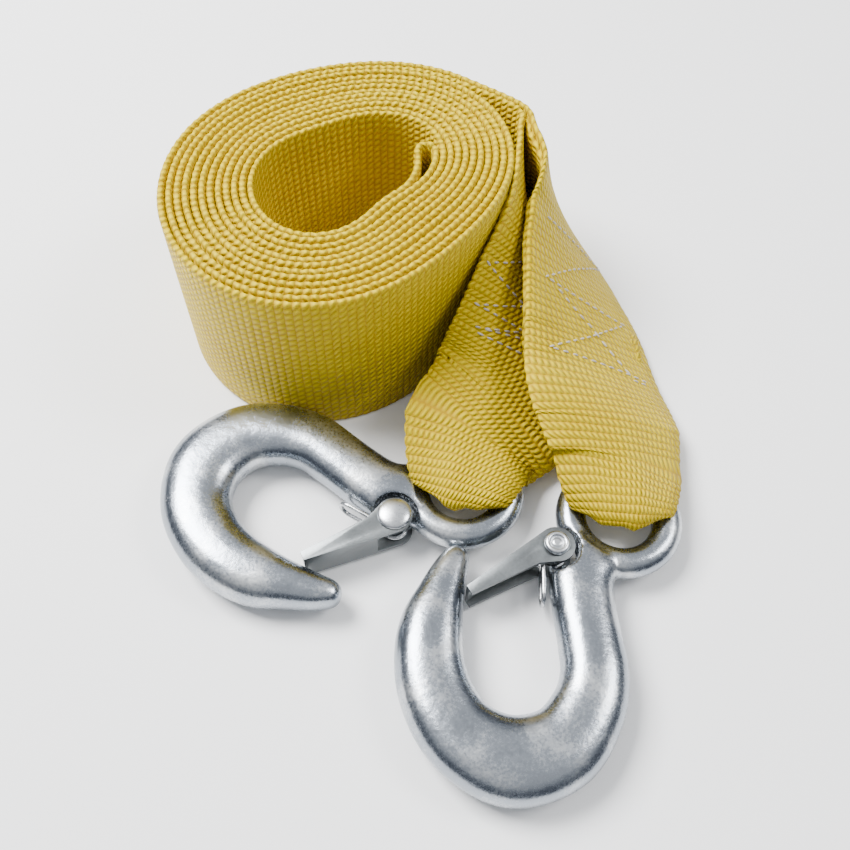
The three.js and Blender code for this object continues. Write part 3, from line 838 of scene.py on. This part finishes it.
def wire_tree():
    tree, group_in, group_out = new_tree("Bent wire", (("Wire", "NodeSocketFloat"),
                                                       ("Material", "NodeSocketMaterial")))
    curve = node(tree, "GeometryNodeMeshToCurve", {"Mesh": group_in.outputs["Geometry"]})
    radius = node(tree, "ShaderNodeMath", {0: group_in.outputs["Wire"]}, {1: 0.5}, operation="MULTIPLY")
    ring = node(tree, "GeometryNodeCurvePrimitiveCircle", {"Radius": radius.outputs[0]},
                {"Resolution": SPRING_SIDES})
    tube = node(tree, "GeometryNodeCurveToMesh", {"Curve": curve.outputs["Curve"],
                                                  "Profile Curve": ring.outputs["Curve"]},
                {"Fill Caps": True})
    close_tree(tree, tube.outputs["Mesh"], group_in, group_out)
    return tree


def stitch_tree():
    """A flattened bead of thread at each point, laid along the seam and on the cloth's face."""
    tree, group_in, group_out = new_tree("Stitches", (
        ("Length", "NodeSocketFloat"), ("Thread", "NodeSocketFloat"), ("Unevenness", "NodeSocketFloat"),
        ("Seed", "NodeSocketInt"), ("Material", "NodeSocketMaterial")))
    bead = node(tree, "GeometryNodeMeshUVSphere", None, {"Segments": 8, "Rings": 6, "Radius": 0.5})
    seam, face = [
        node(tree, "GeometryNodeInputNamedAttribute", None, {"Name": name}, data_type="FLOAT_VECTOR")
        for name in ("seam_way", "cloth_face")
    ]
    lay = node(tree, "FunctionNodeAlignRotationToVector", {"Vector": seam.outputs["Attribute"]}, axis="X")
    stand = node(tree, "FunctionNodeAlignRotationToVector",
                 {"Rotation": lay.outputs["Rotation"], "Vector": face.outputs["Attribute"]},
                 axis="Z", pivot_axis="X")
    low = node(tree, "ShaderNodeMath", {1: group_in.outputs["Unevenness"]}, {0: 1.0}, operation="SUBTRACT")
    varied = node(tree, "FunctionNodeRandomValue", {2: low.outputs[0], "Seed": group_in.outputs["Seed"]},
                  {3: 1.0}, data_type="FLOAT")
    length = node(tree, "ShaderNodeMath", {0: group_in.outputs["Length"], 1: varied.outputs[1]},
                  operation="MULTIPLY")
    size = node(tree, "ShaderNodeCombineXYZ", {"X": length.outputs[0], "Y": group_in.outputs["Thread"],
                                               "Z": group_in.outputs["Thread"]})
    laid = node(tree, "GeometryNodeInstanceOnPoints", {
        "Points": group_in.outputs["Geometry"], "Instance": bead.outputs["Mesh"],
        "Rotation": stand.outputs["Rotation"], "Scale": size.outputs["Vector"]})
    close_tree(tree, laid.outputs["Instances"], group_in, group_out)
    return tree


# Settings shown in the sidebar
class StrapWebbing(bpy.types.PropertyGroup):
    yarn_pitch: bpy.props.FloatProperty(
        name="Yarn pitch", description="Distance from one column of yarn floats to the next",
        default=YARN_PITCH * MM, unit="LENGTH")
    yarn_height: bpy.props.FloatProperty(
        name="Yarn height", description="How far a yarn stands over the valleys of the weave",
        default=0.65 * MM, unit="LENGTH")
    yarn_colour: bpy.props.FloatVectorProperty(
        name="Yarn", description="Colour of the yarn in the light", subtype="COLOR", size=3,
        default=(0.62, 0.465, 0.0))
    # Painted shade: the darker colour put in the valleys of the weave, between the yarns
    valley_shade_colour: bpy.props.FloatVectorProperty(
        name="Valley", description="Colour between the yarns", subtype="COLOR", size=3,
        default=(0.34, 0.17, 0.0))
    thread_colour: bpy.props.FloatVectorProperty(
        name="Thread", description="Colour of the sewing thread", subtype="COLOR", size=3,
        default=(0.56, 0.51, 0.44))
    stitch_length: bpy.props.FloatProperty(
        name="Stitch", description="Length of thread that shows in one stitch",
        default=2.3 * MM, unit="LENGTH")
    stitch_gap: bpy.props.FloatProperty(
        name="Stitch gap", description="Gap between two stitches", default=1.0 * MM, unit="LENGTH")
    thread_thick: bpy.props.FloatProperty(
        name="Thread thickness", description="Thickness of the sewing thread",
        default=0.62 * MM, unit="LENGTH")


class StrapSteel(bpy.types.PropertyGroup):
    hook_colour: bpy.props.FloatVectorProperty(
        name="Hooks", description="Colour of the zinc plate", subtype="COLOR", size=3,
        default=(0.33, 0.36, 0.40))
    hook_tint: bpy.props.FloatVectorProperty(
        name="Tint", description="Tint of the plate's lighter patches", subtype="COLOR", size=3,
        default=(0.80, 0.81, 0.80))
    hook_rough: bpy.props.FloatProperty(
        name="Roughness", description="Mean roughness of the plate", default=0.27, min=0, max=1)
    latch_colour: bpy.props.FloatVectorProperty(
        name="Latches", description="Colour of the latch sheet", subtype="COLOR", size=3,
        default=(0.20, 0.215, 0.22))
    wire: bpy.props.FloatProperty(
        name="Spring wire", description="Thickness of the spring wire", default=SPRING_WIRE * MM,
        unit="LENGTH")


class StrapStage(bpy.types.PropertyGroup):
    floor_colour: bpy.props.FloatVectorProperty(
        name="Floor", description="Colour of the floor", subtype="COLOR", size=3,
        default=(0.93, 0.93, 0.93))
    floor_size: bpy.props.FloatProperty(
        name="Floor size", description="Width of the floor", default=6.0, unit="LENGTH")
    key_power: bpy.props.FloatProperty(
        name="Key", description="Power of the large soft light", default=26.0, min=0)
    fill_power: bpy.props.FloatProperty(
        name="Fill", description="Power of the fill light", default=5.0, min=0)


class STRAP_OT_camera(bpy.types.Operator):
    """Stands the camera at the photograph's viewing angle"""
    bl_idname = "strap.camera"
    bl_label = "Camera"

    def execute(self, context):
        data = bpy.data.cameras.new("camera")
        data.sensor_width = CAMERA_SENSOR
        data.lens = CAMERA_LENS
        data.clip_start = 0.01
        camera = new_object("camera", data)
        camera.matrix_world = (Matrix.Translation(CAMERA_AT)
                               @ Matrix.Rotation(math.radians(90 - CAMERA_PITCH), 4, "X")
                               @ Matrix.Rotation(math.radians(CAMERA_ROLL), 4, "Z"))
        context.scene.camera = camera
        return {"FINISHED"}


def webbing_spots(webbing, spots, side):
    """Points on the outer face of a tail, and its normals there, from spots along and across it."""
    along, place, surface, normal, tails = webbing
    start, way = (tails[1], 1) if side == "right" else (tails[0], -1)
    row = np.interp(start + way * spots[:, 0], along, np.arange(len(along)))
    column = np.interp(spots[:, 1] / (WEB_WIDTH / 2), place, np.arange(len(place)))
    low, left = row.astype(int), column.astype(int)
    down, right = (row - low)[:, None], (column - left)[:, None]
    found = []
    for grid in (surface, normal):
        near = mix(grid[low, left], grid[low, left + 1], right)
        far = mix(grid[low + 1, left], grid[low + 1, left + 1], right)
        found.append(mix(near, far, down))
    out = -way * unit(found[1])
    return found[0] + out * (WEB_THICK / 2 + SEAM_LIFT), out


class STRAP_OT_webbing(bpy.types.Operator):
    """Makes the webbing: coil, tails and loops in one length"""
    bl_idname = "strap.webbing"
    bl_label = "Webbing"

    def execute(self, context):
        along, place, surface, normal, _ = webbing_surface()
        edge = WEB_THICK / WEB_WIDTH
        rounding = np.clip((1 - np.abs(place)) / edge, 0, 1)
        half = WEB_THICK / 2 * np.sqrt(1 - (1 - rounding) ** 2)
        upper = surface + normal * half[None, :, None]
        lower = surface - normal * half[None, :, None]
        rings = np.concatenate((upper, lower[:, -2:0:-1]), axis=1)
        spread = np.concatenate((place, place[-2:0:-1])) * WEB_WIDTH / 2
        columns = rings.shape[1]
        mesh = new_mesh("webbing", rings.reshape(-1, 3) * MM, grid_faces(len(along), columns))
        uv = np.stack((np.repeat(along, columns), np.tile(spread, len(along))), axis=1) * MM
        corners = np.empty(len(mesh.loops), int)
        mesh.loops.foreach_get("vertex_index", corners)
        layer = mesh.uv_layers.new(name="cloth")
        layer.data.foreach_set("uv", uv[corners].ravel().astype(np.float32))
        shade_smooth(mesh)
        webbing = new_object("woven_webbing", mesh, webbing_material(context.scene.strap_webbing))
        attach(webbing, "strap")
        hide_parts("webbing_strap")
        return {"FINISHED"}


class STRAP_OT_stitching(bpy.types.Operator):
    """Sews the folded-back ends to the tails with zig-zag seams"""
    bl_idname = "strap.stitching"
    bl_label = "Stitching"

    def execute(self, context):
        cloth = context.scene.strap_webbing
        webbing = webbing_surface()
        thread = thread_material(cloth)
        tree = stitch_tree()
        step = (cloth.stitch_length + cloth.stitch_gap) / MM
        for number, (side, corners) in enumerate(SEAMS):
            corners = np.array(corners, float)
            far = distances(corners)
            at = np.arange(step / 2, far[-1], step)
            points, out = webbing_spots(webbing, spaced(corners, far, at), side)
            lead, _ = webbing_spots(webbing, spaced(corners, far, at + SEAM_AHEAD), side)
            mesh = new_mesh("seam", points * MM, [])
            for name, values in (("seam_way", unit(lead - points)), ("cloth_face", out)):
                layer = mesh.attributes.new(name, "FLOAT_VECTOR", "POINT")
                layer.data.foreach_set("vector", values.ravel().astype(np.float32))
            seam = with_tree(new_object("seam", mesh), tree, {
                "Length": cloth.stitch_length, "Thread": cloth.thread_thick,
                "Unevenness": STITCH_UNEVENNESS, "Seed": number, "Material": thread})
            stitches = finished(f"{side}_seam_{number + 1}", seam, thread)
            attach(stitches, "strap")
        return {"FINISHED"}


class STRAP_OT_hooks(bpy.types.Operator):
    """Forges both hooks"""
    bl_idname = "strap.hooks"
    bl_label = "Hooks"

    def execute(self, context):
        steel = context.scene.strap_steel
        zinc = metal_material("zinc plate", tuple(steel.hook_colour), steel.hook_rough, HOOK_SPECKLE,
                              tuple(steel.hook_tint))
        blank = hook_mesh()
        for side in EYES:
            hook = placed_copy(f"{side}_forged_hook", blank, hook_place(side), zinc)
            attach(hook, "strap")
            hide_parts(f"{side}_hook")
        drop(blank)
        return {"FINISHED"}


class STRAP_OT_latches(bpy.types.Operator):
    """Bends both latches from sheet, with eased edges"""
    bl_idname = "strap.latches"
    bl_label = "Latches"

    def execute(self, context):
        colour = tuple(context.scene.strap_steel.latch_colour)
        tint = [min(1.0, c * LATCH_TINT) for c in colour]
        sheet = metal_material("latch sheet", colour, LATCH_ROUGH, LATCH_SPECKLE, tint)
        for side in EYES:
            shape = bmesh.new()
            shape.from_mesh(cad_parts[f"{side}_latch"].data)
            bmesh.ops.remove_doubles(shape, verts=shape.verts, dist=LATCH_WELD * MM)
            bmesh.ops.dissolve_limit(shape, angle_limit=math.radians(LATCH_FLAT),
                                     verts=shape.verts, edges=shape.edges)
            plain = from_shape("latch", shape)
            ease = plain.modifiers.new("eased edges", "BEVEL")
            ease.width = LATCH_BEVEL * MM
            ease.segments = LATCH_BEVEL_STEPS
            ease.limit_method = "ANGLE"
            latch = finished(f"{side}_bent_latch", plain, sheet, LATCH_SHARP)
            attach(latch, f"{side}_latch")
            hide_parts(f"{side}_latch")
        return {"FINISHED"}


class STRAP_OT_rivets(bpy.types.Operator):
    """Turns both rivets"""
    bl_idname = "strap.rivets"
    bl_label = "Rivets"

    def execute(self, context):
        bright = metal_material("rivet", *RIVET_LOOK)
        for side in EYES:
            mesh = lathe(rivet_profile())
            mesh.transform(pivot_place(side))
            shade_smooth(mesh)
            mesh.set_sharp_from_angle(angle=math.radians(RIVET_SHARP))
            rivet = new_object(f"{side}_turned_rivet", mesh, bright)
            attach(rivet, "strap")
            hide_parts(f"{side}_rivet")
        return {"FINISHED"}


class STRAP_OT_springs(bpy.types.Operator):
    """Bends both latch springs from wire"""
    bl_idname = "strap.springs"
    bl_label = "Springs"

    def execute(self, context):
        drawn = metal_material("spring wire", *WIRE_LOOK)
        tree = wire_tree()
        for side in EYES:
            points = spring_path()
            mesh = bpy.data.meshes.new("wire")
            mesh.from_pydata(points, [(i, i + 1) for i in range(len(points) - 1)], [])
            mesh.transform(pivot_place(side))
            wire = with_tree(new_object("wire", mesh), tree,
                             {"Wire": context.scene.strap_steel.wire, "Material": drawn})
            spring = finished(f"{side}_wire_spring", wire, drawn)
            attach(spring, "strap")
            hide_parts(f"{side}_spring")
        return {"FINISHED"}


class STRAP_OT_stage(bpy.types.Operator):
    """Lays the floor and sets the studio lights"""
    bl_idname = "strap.stage"
    bl_label = "Stage"

    def execute(self, context):
        stage = context.scene.strap_stage
        reach = stage.floor_size / 2
        corners = [(-reach, -reach, 0), (reach, -reach, 0), (reach, reach, 0), (-reach, reach, 0)]
        floor = new_object("floor", new_mesh("floor", corners, [(0, 1, 2, 3)]), floor_material(stage))
        target = Vector(LIGHT_TARGET)
        for name, at, size, power in (
            ("key light", KEY_AT, KEY_SIZE, stage.key_power),
            ("fill light", FILL_AT, FILL_SIZE, stage.fill_power),
        ):
            data = bpy.data.lights.new(name, "AREA")
            data.size = size
            data.energy = power
            light = new_object(name, data)
            light.location = at
            light.rotation_euler = (target - Vector(at)).to_track_quat("-Z", "Y").to_euler()
        world = context.scene.world or bpy.data.worlds.new("studio")
        context.scene.world = world
        world.use_nodes = True
        tree = world.node_tree
        background = tree.nodes["Background"]
        way = node(tree, "ShaderNodeTexCoord").outputs["Generated"]
        height = node(tree, "ShaderNodeSeparateXYZ", {"Vector": way}).outputs["Z"]
        tree.links.new(ramp(tree, height, *SKY), background.inputs["Color"])
        background.inputs["Strength"].default_value = SKY_STRENGTH
        return {"FINISHED"}


class STRAP_PT_panel(bpy.types.Panel):
    """Sizes and colours of the tow strap"""
    bl_idname = "STRAP_PT_panel"
    bl_label = "Tow strap"
    bl_space_type = "VIEW_3D"
    bl_region_type = "UI"
    bl_category = "Tow strap"

    def draw(self, context):
        scene = context.scene
        for settings in (scene.strap_webbing, scene.strap_steel, scene.strap_stage):
            box = self.layout.box()
            for name in settings.__annotations__:
                box.prop(settings, name)
        for operator in OPERATORS:
            self.layout.operator(operator.bl_idname)


SETTINGS = {"strap_webbing": StrapWebbing, "strap_steel": StrapSteel, "strap_stage": StrapStage}
OPERATORS = (STRAP_OT_camera, STRAP_OT_webbing, STRAP_OT_stitching, STRAP_OT_hooks, STRAP_OT_latches,
             STRAP_OT_rivets, STRAP_OT_springs, STRAP_OT_stage)


def register():
    for kind in (*SETTINGS.values(), *OPERATORS, STRAP_PT_panel):
        bpy.utils.register_class(kind)
    for name, kind in SETTINGS.items():
        setattr(bpy.types.Scene, name, bpy.props.PointerProperty(type=kind))


def unregister():
    for name in SETTINGS:
        delattr(bpy.types.Scene, name)
    for kind in reversed((*SETTINGS.values(), *OPERATORS, STRAP_PT_panel)):
        bpy.utils.unregister_class(kind)


def main():
    register()
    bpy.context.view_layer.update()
    bpy.ops.strap.camera()
    bpy.ops.strap.webbing()
    bpy.ops.strap.stitching()
    bpy.ops.strap.hooks()
    bpy.ops.strap.latches()
    bpy.ops.strap.rivets()
    bpy.ops.strap.springs()
    bpy.ops.strap.stage()


if __name__ == "__main__":
    main()
